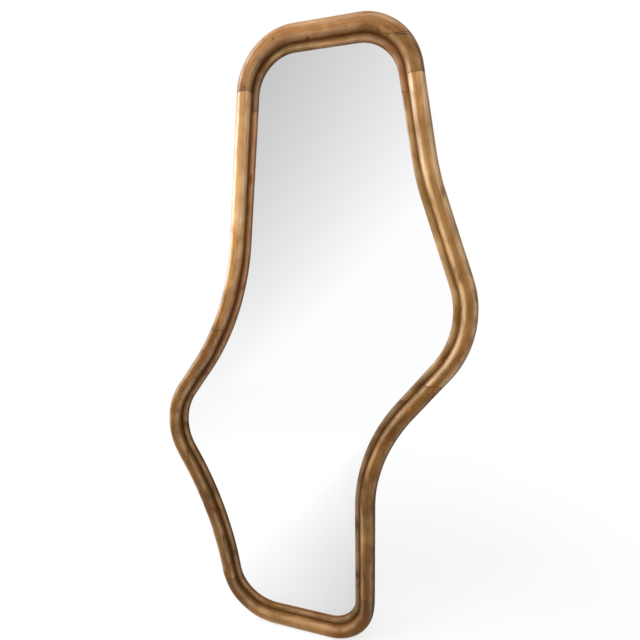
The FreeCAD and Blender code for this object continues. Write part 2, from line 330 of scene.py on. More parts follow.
@dataclass(frozen=True)
class WaxedWood:
    """Waxed hardwood: grain along one length, with bands, pores, patches and knots.

    Slope leans the grain, in degrees. Olive is added to the share of greenish brown. Seed moves
    every pattern, so that no two lengths are alike.
    """

    name: str
    slope: float
    olive: float
    seed: float
    knots: tuple[Knot, ...] = ()
    stains: tuple[Stain, ...] = ()
    splits: tuple[Split, ...] = ()
    grain_colours: tuple[tuple[float, Colour], ...] = (
        (0.00, linear(50, 30, 8)),
        (0.26, linear(92, 60, 22)),
        (0.52, linear(142, 99, 48)),
        (0.76, linear(186, 142, 87)),
        (1.00, linear(228, 195, 148)),
    )
    red_brown: Colour = linear(140, 76, 24)
    olive_brown: Colour = linear(112, 88, 34)
    shade_and_joint_brown: Colour = linear(54, 28, 10)
    split_brown: Colour = linear(40, 20, 8)
    wear_and_highlight_colour: Colour = linear(232, 204, 164)

    def build(self) -> bpy.types.Material:
        """Make the material.

        Its tone is a weighted sum of the patterns and the length's own tone, which carries painted
        light and shade, less the knots and pores. Over the grain's colour come the warm and the
        olive stain, the stained patches, the painted shade of the grooves and inner walls with the
        dark of the joints, the light of wear with painted highlights, and the splits.

        Returns:
            A material that reads the mesh's grain place, tone, warmth, painted shade and joints,
            and wear and highlights.
        """
        s = Shader.material(self.name)
        along = s.turned(s.painted("grain", "Vector"), math.radians(self.slope), 0.05)
        along = s.moved(along, (self.seed, 0.37 * self.seed, 0.11 * self.seed))
        bands = s.noise(s.scaled(along, (0.09, 1.0, 1.0)), 95.0, 3.0, 0.5)
        warp = s.noise(s.scaled(along, (0.16, 1.0, 1.0)), 34.0, 2.0, 0.3)
        rings = (s.axis(along, "Y") * 1150.0 + s.axis(along, "Z") * 480.0 + warp * 30.0).sine()
        streaks = s.noise(s.scaled(along, (0.03, 1.0, 1.0)), 900.0, 3.0)
        pores = s.noise(s.scaled(along, (0.05, 1.0, 1.0)), 2100.0, 2.0).step(0.58, 0.70)
        patches = s.noise(s.moved(s.place, (self.seed, 0.0, 2.0)), 13.0, 3.0, 0.9)
        shifted = s.moved(along, (0.0, 3.0, 0.0))
        mottle = s.noise(s.scaled(shifted, (0.45, 1.0, 1.0)), 52.0, 2.0, 0.4)
        # The length's tone carries painted light and shade: lighter on the upper left, darker
        # towards the bottom.
        tone = (
            bands * 0.28 + rings * 0.03 + streaks * 0.16 + patches * 0.50 + mottle * 0.40
            + s.painted("tone") - 0.305
        )
        tone = tone - self.knot_shade(s) * 0.55 - pores * 0.06
        colour = s.ramp(tone, self.grain_colours)
        hue = s.noise(s.moved(s.place, (0.0, self.seed, 5.0)), 17.0, 2.0, 0.8).step(0.40, 0.68)
        warm = s.painted("warmth") * s.axis(s.place, "Y").step(0.0, -0.008)
        colour = s.blend((hue * 0.2 + warm).within(), colour, self.red_brown)
        moss = s.noise(s.moved(s.place, (3.0, self.seed, 0.0)), 12.0, 2.0, 0.8).step(0.40, 0.70)
        colour = s.blend(moss * (0.18 + self.olive), colour, self.olive_brown)
        for stain in self.stains:
            off = self.radii_off(s, stain) + (mottle - 0.5) * 2.0
            colour = s.blend(off.step(1.0, 0.0) * stain.share, colour, stain.colour)
        # Painted shade in the grooves between the layers and on the inner walls, with the real dark
        # of the joints at each end.
        groove = s.painted("groove") * (s.noise(s.place, 60.0, 2.0) * 0.8 + 0.5)
        colour = s.blend(groove.within(0.0, 0.85), colour, self.shade_and_joint_brown)
        # Painted highlights along the rounded edges, partly real wear.
        crown = s.painted("crown") * mottle.step(0.25, 0.60)
        colour = s.blend(crown * 0.16, colour, self.wear_and_highlight_colour)
        split = self.split_shade(s)
        colour = s.blend(split, colour, self.split_brown)
        rough = 0.47 - crown * 0.08 + groove * 0.25 + pores * 0.2 + (mottle - 0.5) * 0.22
        height = streaks * 0.3 + rings * 0.04 - pores * 0.4 + bands * 0.3 + mottle * 0.25
        return s.finish({
            "Base Color": colour,
            "Roughness": rough.within(0.22, 0.9),
            "Normal": s.bump(height, 0.18, 0.0005),
            "Coat Weight": (tone * 1.5 - groove * 0.5 - split - 0.30).within(0.0, 0.7),
            "Coat Roughness": 0.19,
            "IOR": 1.45,
            "Specular IOR Level": 0.16,
        })

    @staticmethod
    def radii_off(s: Shader, mark: Knot | Stain) -> Wire:
        """How far each place lies from a mark, seen from the front, in the mark's radii."""
        flat = s.scaled(s.place, (1.0, 0.0, 1.0))
        return s.distance(flat, (mark.x * MM, 0.0, mark.z * MM)) / (mark.radius * MM)

    def knot_shade(self, s: Shader) -> Wire | float:
        """How dark the knots make each place: a dark heart, and rings that fade out.

        The heart falls from 1 to 0 between 0.35 and 1 of the radius. The rings are 0.35 times
        the sine of six times the distance in radii, and fade between 1 and 2.6 radii.

        Args:
            s: The wood's shader.

        Returns:
            The shade, or 0 where the length has no knots.
        """
        shades = []
        for knot in self.knots:
            off = self.radii_off(s, knot) + (s.noise(s.place, 160.0, 2.0) - 0.5) * 0.8
            shades.append(off.step(1.0, 0.35) + (off * 6.0).sine() * off.step(2.6, 1.0) * 0.35)
        return sum(shades).within(-0.4, 1.4) if shades else 0.0

    def split_shade(self, s: Shader) -> Wire | float:
        """1 on the line between a split's ends, falling to 0 at its width, on the front only.

        The nearest point of the line is at the share of it that the offset from its start
        times its step gives, over the step's square, held between 0 and 1.

        Args:
            s: The wood's shader.

        Returns:
            The shade, or 0 where the length has no splits.
        """
        if not self.splits:
            return 0.0
        across, height = s.axis(s.place, "X"), s.axis(s.place, "Z")
        shades = []
        for split in self.splits:
            (x, z), (far_x, far_z) = split.start, split.end
            step_x, step_z = (far_x - x) * MM, (far_z - z) * MM
            from_x, from_z = across - x * MM, height - z * MM
            share = ((from_x * step_x + from_z * step_z) / (step_x**2 + step_z**2)).within()
            off_x, off_z = from_x - share * step_x, from_z - share * step_z
            off = (off_x * off_x + off_z * off_z) ** 0.5
            shades.append(off.step(split.width * MM, split.width * MM * 0.4))
        return sum(shades).within() * s.axis(s.place, "Y").step(-0.018, -0.022)


@dataclass(frozen=True)
class SilveredGlass:
    """The mirror: bright silver behind clear, nearly colourless glass."""

    name: str = "silvered_glass"

    def build(self) -> bpy.types.Material:
        """Make the material: near-perfect reflection with the slightest ripple and dust.

        Returns:
            The pane's material.
        """
        s = Shader.material(self.name)
        dust = s.noise(s.place, 900.0, 2.0).step(0.62, 0.9)
        ripple = s.noise(s.place, 5.0, 1.0)
        tint = s.blend(s.noise(s.place, 3.0, 1.0), linear(252, 253, 253), linear(254, 254, 254))
        return s.finish({
            "Base Color": tint,
            "Metallic": 1.0,
            "Roughness": dust * 0.03 + 0.012,
            "Normal": s.bump(ripple, 0.10, 0.0001),
            "Coat Weight": 0.6,
            "Coat Roughness": 0.01,
        })


@dataclass(frozen=True)
class Hardboard:
    """Pressed wood fibre: brown, flecked with lighter and darker fibres, with a soft sheen."""

    name: str = "fibreboard"

    def build(self) -> bpy.types.Material:
        """Make the material from two directions of fine fibres, flecks and faint scuffs.

        Returns:
            The board's material.
        """
        s = Shader.material(self.name)
        fine = s.noise(s.scaled(s.place, (1.0, 1.0, 0.25)), 1500.0, 3.0)
        cross = s.noise(s.scaled(s.place, (0.25, 1.0, 1.0)), 1400.0, 3.0)
        flecks = s.noise(s.place, 420.0, 2.0).step(0.60, 0.74)
        cloud = s.noise(s.place, 7.0, 4.0)
        tone = fine * 0.45 + cross * 0.45 + cloud * 0.5 - 0.22
        colour = s.ramp(tone, (
            (0.1, linear(86, 60, 40)),
            (0.5, linear(128, 94, 62)),
            (0.9, linear(160, 124, 86)),
        ))
        colour = s.blend(flecks * 0.5, colour, linear(186, 152, 110))
        scuff = s.noise(s.scaled(s.place, (1.0, 1.0, 6.0)), 30.0, 4.0, 1.5).step(0.66, 0.74)
        colour = s.blend(scuff * 0.25, colour, linear(176, 146, 112))
        return s.finish({
            "Base Color": colour,
            "Roughness": 0.62 + (fine - 0.5) * 0.3,
            "Normal": s.bump(fine + cross, 0.35, 0.0003),
        })


@dataclass(frozen=True)
class GreyCard:
    """Grey recycled card with short fibres."""

    name: str = "grey_card"

    def build(self) -> bpy.types.Material:
        """Make the material: grey pulp with light and dark fibres.

        Returns:
            The pad's material.
        """
        s = Shader.material(self.name)
        pulp = s.noise(s.place, 800.0, 4.0)
        fibre = s.noise(s.scaled(s.place, (0.2, 1.0, 1.0)), 1500.0, 2.0, 1.0)
        colour = s.ramp(pulp * 0.6 + fibre * 0.4, (
            (0.3, linear(118, 114, 106)),
            (0.7, linear(166, 162, 152)),
        ))
        return s.finish({
            "Base Color": colour,
            "Roughness": pulp * 0.15 + 0.8,
            "Normal": s.bump(pulp, 0.3, 0.0003),
        })


@dataclass(frozen=True)
class Zinc:
    """Zinc plate on steel: a satin metal with cloudy passivation and handling marks."""

    name: str
    light: tuple[float, float, float, float]
    dark: tuple[float, float, float, float]
    streak: float = 0.15

    def build(self) -> bpy.types.Material:
        """Make the material from cloudy tone, fine drawing lines and small pits.

        Returns:
            The metal's material.
        """
        s = Shader.material(self.name)
        cloud = s.noise(s.place, 160.0, 4.0, 0.6)
        lines = s.noise(s.scaled(s.place, (1.0, 1.0, 0.05)), 5000.0, 2.0)
        pits = s.noise(s.place, 2600.0, 2.0).step(0.66, 0.78)
        colour = s.blend(cloud.step(0.3, 0.75), self.light, self.dark)
        colour = s.blend(pits * 0.5, colour, linear(92, 86, 78))
        return s.finish({
            "Base Color": colour,
            "Metallic": 1.0,
            "Roughness": (cloud * 0.22 + 0.22 + pits * 0.2 + lines * self.streak).within(0.1, 0.8),
            "Normal": s.bump(lines + cloud * 0.5 - pits * 0.6, 0.2, 0.0001),
        })


@dataclass(frozen=True)
class Rubber:
    """Matt black rubber, a little dusty, greyer where it has rubbed on the wall."""

    name: str = "black_rubber"

    def build(self) -> bpy.types.Material:
        """Make the material: fine grain, dust and a rubbed face.

        Returns:
            The feet's material.
        """
        s = Shader.material(self.name)
        grain = s.noise(s.place, 3200.0, 3.0)
        dust = s.noise(s.place, 300.0, 3.0).step(0.45, 0.75)
        rubbed = s.axis(s.place, "Y").step(0.0052, 0.006)
        share = (dust * 0.25 + rubbed * 0.35).within()
        colour = s.blend(share, linear(30, 30, 31), linear(92, 90, 86))
        return s.finish({
            "Base Color": colour,
            "Roughness": 0.7 + (grain - 0.5) * 0.3,
            "Normal": s.bump(grain, 0.3, 0.0002),
        })


# ---------------------------------------------------------------- shapes


class Flank(Enum):
    """A side of the mirror: its first and last corner on the outline, and its rise or fall."""

    LEFT = (0, 4, -1.0)
    RIGHT = (5, 9, 1.0)


@dataclass(frozen=True)
class Joint:
    """A level joint between two lengths of wood, at a height in millimetres."""

    flank: Flank
    height: float


def directions(points: np.ndarray) -> np.ndarray:
    """Unit direction from each point of a closed polygon to the next one."""
    along = np.roll(points, -1, axis=0) - points
    return along / np.linalg.norm(along, axis=1, keepdims=True)


def rounded(
    corners: tuple[Triple, ...], bends: np.ndarray, runs: np.ndarray
) -> tuple[np.ndarray, np.ndarray]:
    """A closed loop of straight sides that meet in rounded corners.

    A corner's arc touches both sides at a reach of radius * tan(turn / 2). Its centre lies one
    signed radius to the left of the first touching point, and a point of the arc is that centre
    minus the left normal, turned with the corner, times the signed radius. A straight goes from
    the second touching point of a corner to the first one of the next.

    Args:
        corners: Place and radius of each corner.
        bends: Shares of a corner's turn at which its arc has points.
        runs: Shares of a straight at which it has points.

    Returns:
        Points and left normals, one row for each, without a repeated last one.
    """
    points, radius = np.split(np.array(corners), [2], axis=1)
    after = directions(points)
    before = np.roll(after, 1, axis=0)
    cross = before[:, 0] * after[:, 1] - before[:, 1] * after[:, 0]
    turn = np.arctan2(cross, (before * after).sum(axis=1))[:, None]
    reach = radius * np.tan(np.abs(turn) / 2)
    signed = np.sign(turn) * radius
    left = np.stack([-before[:, 1], before[:, 0]], axis=1)
    start, end = points - before * reach, points + after * reach
    cos, sin = np.cos(turn * bends), np.sin(turn * bends)
    normal = np.stack([
        left[:, :1] * cos - left[:, 1:] * sin, left[:, :1] * sin + left[:, 1:] * cos
    ], axis=-1)
    arc = (start + left * signed)[:, None] - normal * signed[:, None]
    gap = np.roll(start, -1, axis=0) - end
    line = end[:, None] + gap[:, None] * runs[:, None]
    flat = np.broadcast_to(np.roll(left, -1, axis=0)[:, None], line.shape)
    loop = np.concatenate([arc, line], axis=1).reshape(-1, 2)
    return loop, np.concatenate([normal, flat], axis=1).reshape(-1, 2)


@dataclass(frozen=True)
class Outline:
    """The frame's outer outline: straight sides that meet in rounded corners, in millimetres.

    It runs from the top left corner down the left side, along the bottom, up the right side and
    back along the top. Every parallel curve inside it shares its arc centres, so a point at a
    station and an inset is the outer point plus the inset times the inward normal.
    """

    corners: tuple[Triple, ...] = (
        (-115.0, 600.0, 110.0),
        (-160.0, 103.0, 490.0),
        (-339.0, -139.0, 150.0),
        (-218.0, -350.0, 750.0),
        (-179.0, -600.0, 128.0),
        (149.0, -600.0, 92.0),
        (141.0, -179.0, 320.0),
        (333.0, 71.0, 190.0),
        (235.0, 345.0, 430.0),
        (186.0, 600.0, 110.0),
    )
    steps: int = 220

    def curve(self) -> tuple[np.ndarray, np.ndarray]:
        """Outer points and inward normals at close stations, as many on each arc and straight."""
        even = np.arange(self.steps) / self.steps
        return rounded(self.corners, even, even)

    def stations(self) -> tuple[np.ndarray, np.ndarray, np.ndarray]:
        """Distance along the outline, points and normals, over two whole turns.

        Returns:
            Distances, points, and inward normals, one row for each station.
        """
        points, normals = self.curve()
        step = np.linalg.norm(np.roll(points, -1, axis=0) - points, axis=1)
        lap = np.concatenate([[0.0], np.cumsum(step)])
        far = np.concatenate([lap[:-1], lap[:-1] + lap[-1], [2 * lap[-1]]])
        rows = np.arange(len(far)) % len(points)
        return far, points[rows], normals[rows]

    def length(self) -> float:
        """Length of the outer outline."""
        points, _ = self.curve()
        return float(np.linalg.norm(np.roll(points, -1, axis=0) - points, axis=1).sum())

    def meet(self, joint: Joint, insets: np.ndarray) -> np.ndarray:
        """Where a level joint crosses each parallel curve.

        The left side falls and the right side rises along the outline, so on its own side each
        parallel curve passes the joint's height once. The station is found between two close
        ones in proportion to their heights.

        Args:
            joint: The joint.
            insets: Insets from the outer outline, in millimetres.

        Returns:
            Distance along the outer outline for each inset.
        """
        far, points, normals = self.stations()
        first_corner, last_corner, sign = joint.flank.value
        low, high = self.turn_station(first_corner), self.turn_station(last_corner)
        use = (far >= low) & (far <= high)
        far, points, normals = far[use], points[use], normals[use]
        rise = (points[:, 1] + insets[:, None] * normals[:, 1]) * sign
        target = joint.height * sign
        last = np.clip((rise < target).sum(axis=1) - 1, 0, len(far) - 2)
        rows = np.arange(len(insets))
        below, above = rise[rows, last], rise[rows, last + 1]
        share = (target - below) / (above - below)
        return far[last] + share * (far[last + 1] - far[last])

    def turn_station(self, corner: int) -> float:
        """Distance along the outline to the middle of a corner's arc."""
        far, _, _ = self.stations()
        return float(far[corner * 2 * self.steps + self.steps // 2])

    def spots(self, inset: float, count: int) -> np.ndarray:
        """Points spaced evenly along a parallel curve, from the start of the first arc.

        Args:
            inset: Inset from the outer outline, in millimetres.
            count: How many points.

        Returns:
            Points (x, z), one row for each.
        """
        points, normals = self.curve()
        path = points + inset * normals
        path = np.concatenate([path, path[:1]])
        gone = np.concatenate([[0.0], np.cumsum(np.linalg.norm(np.diff(path, axis=0), axis=1))])
        want = np.arange(count) / count * gone[-1]
        return np.stack([np.interp(want, gone, path[:, axis]) for axis in (0, 1)], axis=1)


@dataclass(frozen=True)
class Section:
    """A closed section of the frame: corners of (inset, depth, rounding) in millimetres.

    Bend is the number of points on a corner's arc, and run the number on a straight.
    """

    corners: tuple[Triple, ...]
    bend: int = 9
    run: int = 5

    def loop(self) -> tuple[np.ndarray, np.ndarray]:
        """Points (inset, depth) round the section and their outward normals.

        The loop's signed area tells which way round it goes, and so which side is outward.

        Returns:
            Points and normals, one row for each.
        """
        runs = np.arange(1, self.run + 1) / (self.run + 1)
        loop, normals = rounded(self.corners, np.linspace(0.0, 1.0, self.bend), runs)
        following = np.roll(loop, -1, axis=0)
        area = (loop[:, 0] * following[:, 1] - following[:, 0] * loop[:, 1]).sum()
        return loop, -normals if area > 0 else normals


def put_mesh(
    name: str,
    points: np.ndarray,
    quads: np.ndarray,
    caps: list[np.ndarray],
    values: dict[str, np.ndarray] | None = None,
) -> bpy.types.Object:
    """Make a closed mesh object at the origin, with its faces outwards.

    The signed volume is the sum, over the faces cut into triangles, of the triple product of
    their corners over six. Where it comes out negative, every face is turned over.

    Args:
        name: The object's name.
        points: Points in millimetres, one row for each.
        quads: Corner numbers of the four-sided faces.
        caps: Corner numbers of the flat faces with more sides, or of fans of triangles.
        values: Numbers for each point by attribute name, with three axes for vectors.

    Returns:
        The object, linked to the scene.
    """
    fans = [np.stack([np.full(len(c) - 2, c[0]), c[1:-1], c[2:]], axis=1) for c in caps]
    cut = np.concatenate([quads[:, [0, 1, 2]], quads[:, [0, 2, 3]], *fans])
    a, b, c = points[cut[:, 0]], points[cut[:, 1]], points[cut[:, 2]]
    inside_out = (a * np.cross(b, c)).sum() < 0
    faces = quads.tolist() + [cap.tolist() for cap in caps]
    if inside_out:
        faces = [face[::-1] for face in faces]
    mesh = bpy.data.meshes.new(name)
    mesh.from_pydata((points * MM).tolist(), [], faces)
    smooth = np.ones(len(faces), dtype=bool)
    smooth[len(quads):] = [len(cap) == 3 for cap in caps]
    mesh.polygons.foreach_set("use_smooth", smooth)
    for key, numbers in (values or {}).items():
        kind, channel = ("FLOAT_VECTOR", "vector") if numbers.ndim == 3 else ("FLOAT", "value")
        mesh.attributes.new(key, kind, "POINT").data.foreach_set(channel, numbers.ravel())
    mesh.update()
    made = bpy.data.objects.new(name, mesh)
    bpy.context.scene.collection.objects.link(made)
    return made


def dress(made: bpy.types.Object, material: bpy.types.Material, node: str) -> None:
    """Give a piece its material, and let it ride on the frame in place of its solid.

    Args:
        made: The piece.
        material: Its material.
        node: The node it stands for.
    """
    made.data.materials.append(material)
    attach(made, "frame")
    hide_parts(node)


def tube_quads(around: int, rows: int) -> np.ndarray:
    """Faces of a tube whose points are numbered row after row, each row a closed loop.

    Args:
        around: Points in a row.
        rows: Number of rows.

    Returns:
        Corner numbers of the four-sided faces.
    """
    row = np.arange(rows - 1)[:, None] * around
    here = row + np.arange(around)
    there = row + (np.arange(around) + 1) % around
    return np.stack([here, there, there + around, here + around], axis=-1).reshape(-1, 4)


@dataclass(frozen=True)
class Length:
    """One length of wood, from a joint along the outline to the next one.

    Its tone, which carries painted light and shade as well as the wood's own tone, and the warmth
    of the stain are given at its start, middle and end. The wear and highlight amount says how
    light its lines of wear and painted highlight are.
    """

    node: str
    start: Joint
    end: Joint
    finish: WaxedWood
    tones_and_painted_light: Triple
    warmth: Triple = (0.0, 0.0, 0.0)
    wear_and_highlight_amount: float = 1.0


@dataclass
class WoodRing:
    """A ring of wood carried along the outline and cut into lengths at level joints.

    Painted shade lines, in the grooves and on the inner walls, are (inset, depth, strength, reach),
    and the places of wear and painted highlight are (inset, depth), in millimetres. A wave of the
    handwork is (share, length over two pi in millimetres, shift from one length of wood to the
    next, turns round the section). The wobble fades out over a depth that ends where the hidden
    faces start. Skin is how far the wood stays inside its solid.
    """

    outline: Outline
    section: Section
    lengths: tuple[Length, ...]
    painted_shade_lines: tuple[tuple[float, float, float, float], ...]
    wear_and_highlight_at: tuple[tuple[float, float], ...]
    slot: str
    spacing: float = 4.0
    bevel: float = 0.45
    skin: float = 0.01
    wobble: float = 0.35
    wobble_end: float = -13.0
    wobble_fade: float = 4.0
    waves: tuple[tuple[float, float, float, float], ...] = (
        (0.5, 31.0, 1.7, 2.0), (0.3, 13.7, -2.3, -3.0), (0.2, 67.0, 1.0, 1.0),
    )
    rows_at_end: tuple[float, ...] = (0.0, 0.2, 0.45, 0.8, 1.6)
    joint_dark: float = 0.8
    joint_reach: float = 0.5
    wear_and_highlight_spread: float = 12.0

    def build(self) -> list[bpy.types.Object]:
        """Make every length, dress it and let it stand for its solid."""
        return [self.build_length(number, length) for number, length in enumerate(self.lengths)]

    def build_length(self, number: int, length: Length) -> bpy.types.Object:
        """Make one length: the section carried along the outline between two level ends.

        For every point of the section the start and end stations are those where its own
        parallel curve meets the joints, and the rows share out the distance between them, so
        both ends are level. At a station s the point is outer(s) + inset * normal(s), at the
        section's depth. Near an end the point moves in along the section's normal to make a
        small bevel, and everywhere by a slow wobble of a few tenths that shows the handwork.

        Args:
            number: Order of the length, for its own phase of the wobble.
            length: The length.

        Returns:
            The dressed object.
        """
        loop, normals = self.section.loop()
        start = self.outline.meet(length.start, loop[:, 0])
        end = self.outline.meet(length.end, loop[:, 0])
        end = np.where(end < start, end + self.outline.length(), end)
        mean = float((end - start).mean())
        share = self.shares(mean)
        along = start[None, :] + (end - start)[None, :] * share[:, None]
        from_end = np.minimum(share, 1.0 - share)[:, None] * mean
        push = np.clip(self.bevel - from_end, 0.0, None) + self.skin
        push = push + self.handwork(along, loop, number)
        inset = loop[:, 0] - normals[:, 0] * push
        depth = loop[:, 1] - normals[:, 1] * push
        far, outer, inward = self.outline.stations()
        inward_x = np.interp(along, far, inward[:, 0])
        inward_z = np.interp(along, far, inward[:, 1])
        size = np.hypot(inward_x, inward_z)
        x = np.interp(along, far, outer[:, 0]) + inset * inward_x / size
        z = np.interp(along, far, outer[:, 1]) + inset * inward_z / size
        z[0], z[-1] = length.start.height, length.end.height
        points = np.stack([x, depth, z], axis=-1).reshape(-1, 3)
        around, rows = len(loop), len(share)
        caps = [np.arange(around)[::-1], (rows - 1) * around + np.arange(around)]
        values = self.values(loop, from_end, along) | self.stain(length, share, around)
        # Lines of wear and painted highlight, as light as the length's own amount.
        values["crown"] *= length.wear_and_highlight_amount
        made = put_mesh("wood_" + length.node, points, tube_quads(around, rows), caps, values)
        dress(made, length.finish.build(), length.node)
        return made

    def shares(self, mean: float) -> np.ndarray:
        """Rows along a length, as shares of it: close at both ends, even between.

        Args:
            mean: Mean distance between the length's ends, in millimetres.

        Returns:
            Shares from 0 to 1.
        """
        close = np.array(self.rows_at_end) / mean
        count = max(4, round(mean / self.spacing))
        middle = np.linspace(close[-1], 1.0 - close[-1], count + 1)[1:-1]
        return np.concatenate([close, middle, 1.0 - close[::-1]])

    def handwork(self, along: np.ndarray, loop: np.ndarray, number: int) -> np.ndarray:
        """How far in the surface lies: slow waves along the outline and round the section.

        Each wave is its share of half of one plus a sine, so that the sum stays between nothing
        and the wobble. The flat back and the hidden faces keep their place.

        Args:
            along: Distance along the outline, by row and section point.
            loop: The section's points (inset, depth).
            number: Order of the length, for its own phase.

        Returns:
            Millimetres inwards, by row and section point.
        """
        turn = np.arctan2(loop[:, 1] + REAR_LAYER, loop[:, 0] - loop[:, 0].mean())
        waves = sum(
            share * (1 + np.sin(along / length + shift * number + turns * turn))
            for share, length, shift, turns in self.waves
        ) / 2.0
        shown = np.clip((self.wobble_end - loop[:, 1]) / self.wobble_fade, 0.0, 1.0)
        return self.wobble * waves * shown

    def values(
        self, loop: np.ndarray, from_end: np.ndarray, along: np.ndarray
    ) -> dict[str, np.ndarray]:
        """Numbers that the finish reads at each point.

        The painted shade fades with the distance from each shade line of the section, which has its
        own strength and reach, and the dark of the joints with the distance from both ends. The
        wear and painted highlight fade with the square of the distance from the lines where they
        are painted. Grain is the place (along, inset, depth).

        Args:
            loop: The section's points (inset, depth).
            from_end: Distance to the nearer end, by row and section point.
            along: Distance along the outline, by row and section point.

        Returns:
            Numbers by attribute name.
        """
        dark = [
            strength * np.exp(-np.hypot(loop[:, 0] - inset, loop[:, 1] - depth) / reach)
            for inset, depth, strength, reach in self.painted_shade_lines
        ]
        ends = self.joint_dark * np.exp(-from_end / self.joint_reach)
        wear_and_highlight_amount = [
            np.exp(-np.hypot(*(loop - spot).T) ** 2 / self.wear_and_highlight_spread) for spot in self.wear_and_highlight_at
        ]
        inset, depth = (np.broadcast_to(loop[:, axis], along.shape) for axis in (0, 1))
        return {
            "groove": np.clip(np.max(dark, axis=0) + ends, 0.0, 1.0),
            "crown": np.broadcast_to(np.max(wear_and_highlight_amount, axis=0), along.shape).copy(),
            "grain": np.stack([along, inset, depth], axis=-1) * MM,
        }

    @staticmethod
    def stain(length: Length, share: np.ndarray, around: int) -> dict[str, np.ndarray]:
        """Tone, which carries painted light and shade, and warmth at each point, even round the
        section and in proportion between marks.

        Args:
            length: The length.
            share: Share of the length at each row.
            around: Points in a row.

        Returns:
            Numbers by attribute name.
        """
        marks = {"tone": length.tones_and_painted_light, "warmth": length.warmth}
        return {
            key: np.repeat(np.interp(share, (0.0, 0.5, 1.0), given), around)
            for key, given in marks.items()
        }


def lathe(profile: np.ndarray, steps: int) -> tuple[np.ndarray, np.ndarray, list[np.ndarray]]:
    """A profile of (radius, height) turned about the Y axis, with a pole at each end.

    The point at an angle is (radius cos, height, radius sin). The first and last profile points
    are on the axis and become the poles, which fans of triangles join to the nearest loop.

    Args:
        profile: Radius and height of each point, from pole to pole.
        steps: Points round each loop.

    Returns:
        Points, four-sided faces, and the triangles of both fans.
    """
    angle = np.arange(steps) / steps * 2 * np.pi
    rings = profile[1:-1]
    x = rings[:, :1] * np.cos(angle)
    z = rings[:, :1] * np.sin(angle)
    y = np.broadcast_to(rings[:, 1:], x.shape)
    body = np.stack([x, y, z], axis=-1).reshape(-1, 3)
    points = np.concatenate([body, [[0, profile[0, 1], 0], [0, profile[-1, 1], 0]]])
    here = np.arange(steps)
    there = (here + 1) % steps
    last = (len(rings) - 1) * steps
    first_fan = np.stack([there, here, np.full(steps, len(body))], axis=1)
    last_fan = np.stack([last + here, last + there, np.full(steps, len(body) + 1)], axis=1)
    return points, tube_quads(steps, len(rings)), list(np.concatenate([first_fan, last_fan]))


def repeated(
    shape: tuple[np.ndarray, np.ndarray, list[np.ndarray]], places: np.ndarray, spins: np.ndarray
) -> tuple[np.ndarray, np.ndarray, list[np.ndarray]]:
    """Copies of a shape, each spun about Y and put in its place, as one set of points and faces.

    Args:
        shape: Points, four-sided faces, and triangles of the fans.
        places: Place of each copy, one row for each.
        spins: Turn of each copy, in radians.

    Returns:
        Points, four-sided faces, and triangles of the fans.
    """
    points, quads, fans = shape
    cos, sin = np.cos(spins)[:, None], np.sin(spins)[:, None]
    x = points[:, 0] * cos - points[:, 2] * sin + places[:, :1]
    z = points[:, 0] * sin + points[:, 2] * cos + places[:, 2:]
    y = points[:, 1] + places[:, 1:2]
    shift = (np.arange(len(places)) * len(points))[:, None, None]
    all_points = np.stack([x, y, z], axis=-1).reshape(-1, 3)
    all_fans = (np.array(fans)[None] + shift).reshape(-1, 3)
    return all_points, (quads[None] + shift).reshape(-1, 4), list(all_fans)


@dataclass(frozen=True)
class CrossRecess:
    """A cross-shaped driver recess, in millimetres."""

    reach: float = 1.9
    half_width: float = 0.42
    depth: float = 1.1
    wall: float = 0.16

    def inside(self, gap: np.ndarray) -> np.ndarray:
        """1 well inside an edge and 0 outside it, even over the wall, for the gap to the edge."""
        return np.clip(gap / self.wall + 0.5, 0.0, 1.0)

    def sink(self, x: np.ndarray, z: np.ndarray) -> np.ndarray:
        """Depth of the recess: two crossed bars with sloping walls, shallower to their tips.

        Args:
            x: Places across the head, from its middle.
            z: Places up the head, from its middle.

        Returns:
            How deep each place sinks.
        """
        radius = np.hypot(x, z)
        fall = np.clip(1.25 - radius / self.reach, 0.0, 1.0) ** 0.6
        bars = self.inside(self.half_width - np.minimum(np.abs(x), np.abs(z)))
        return self.depth * fall * self.inside(self.reach - radius) * bars


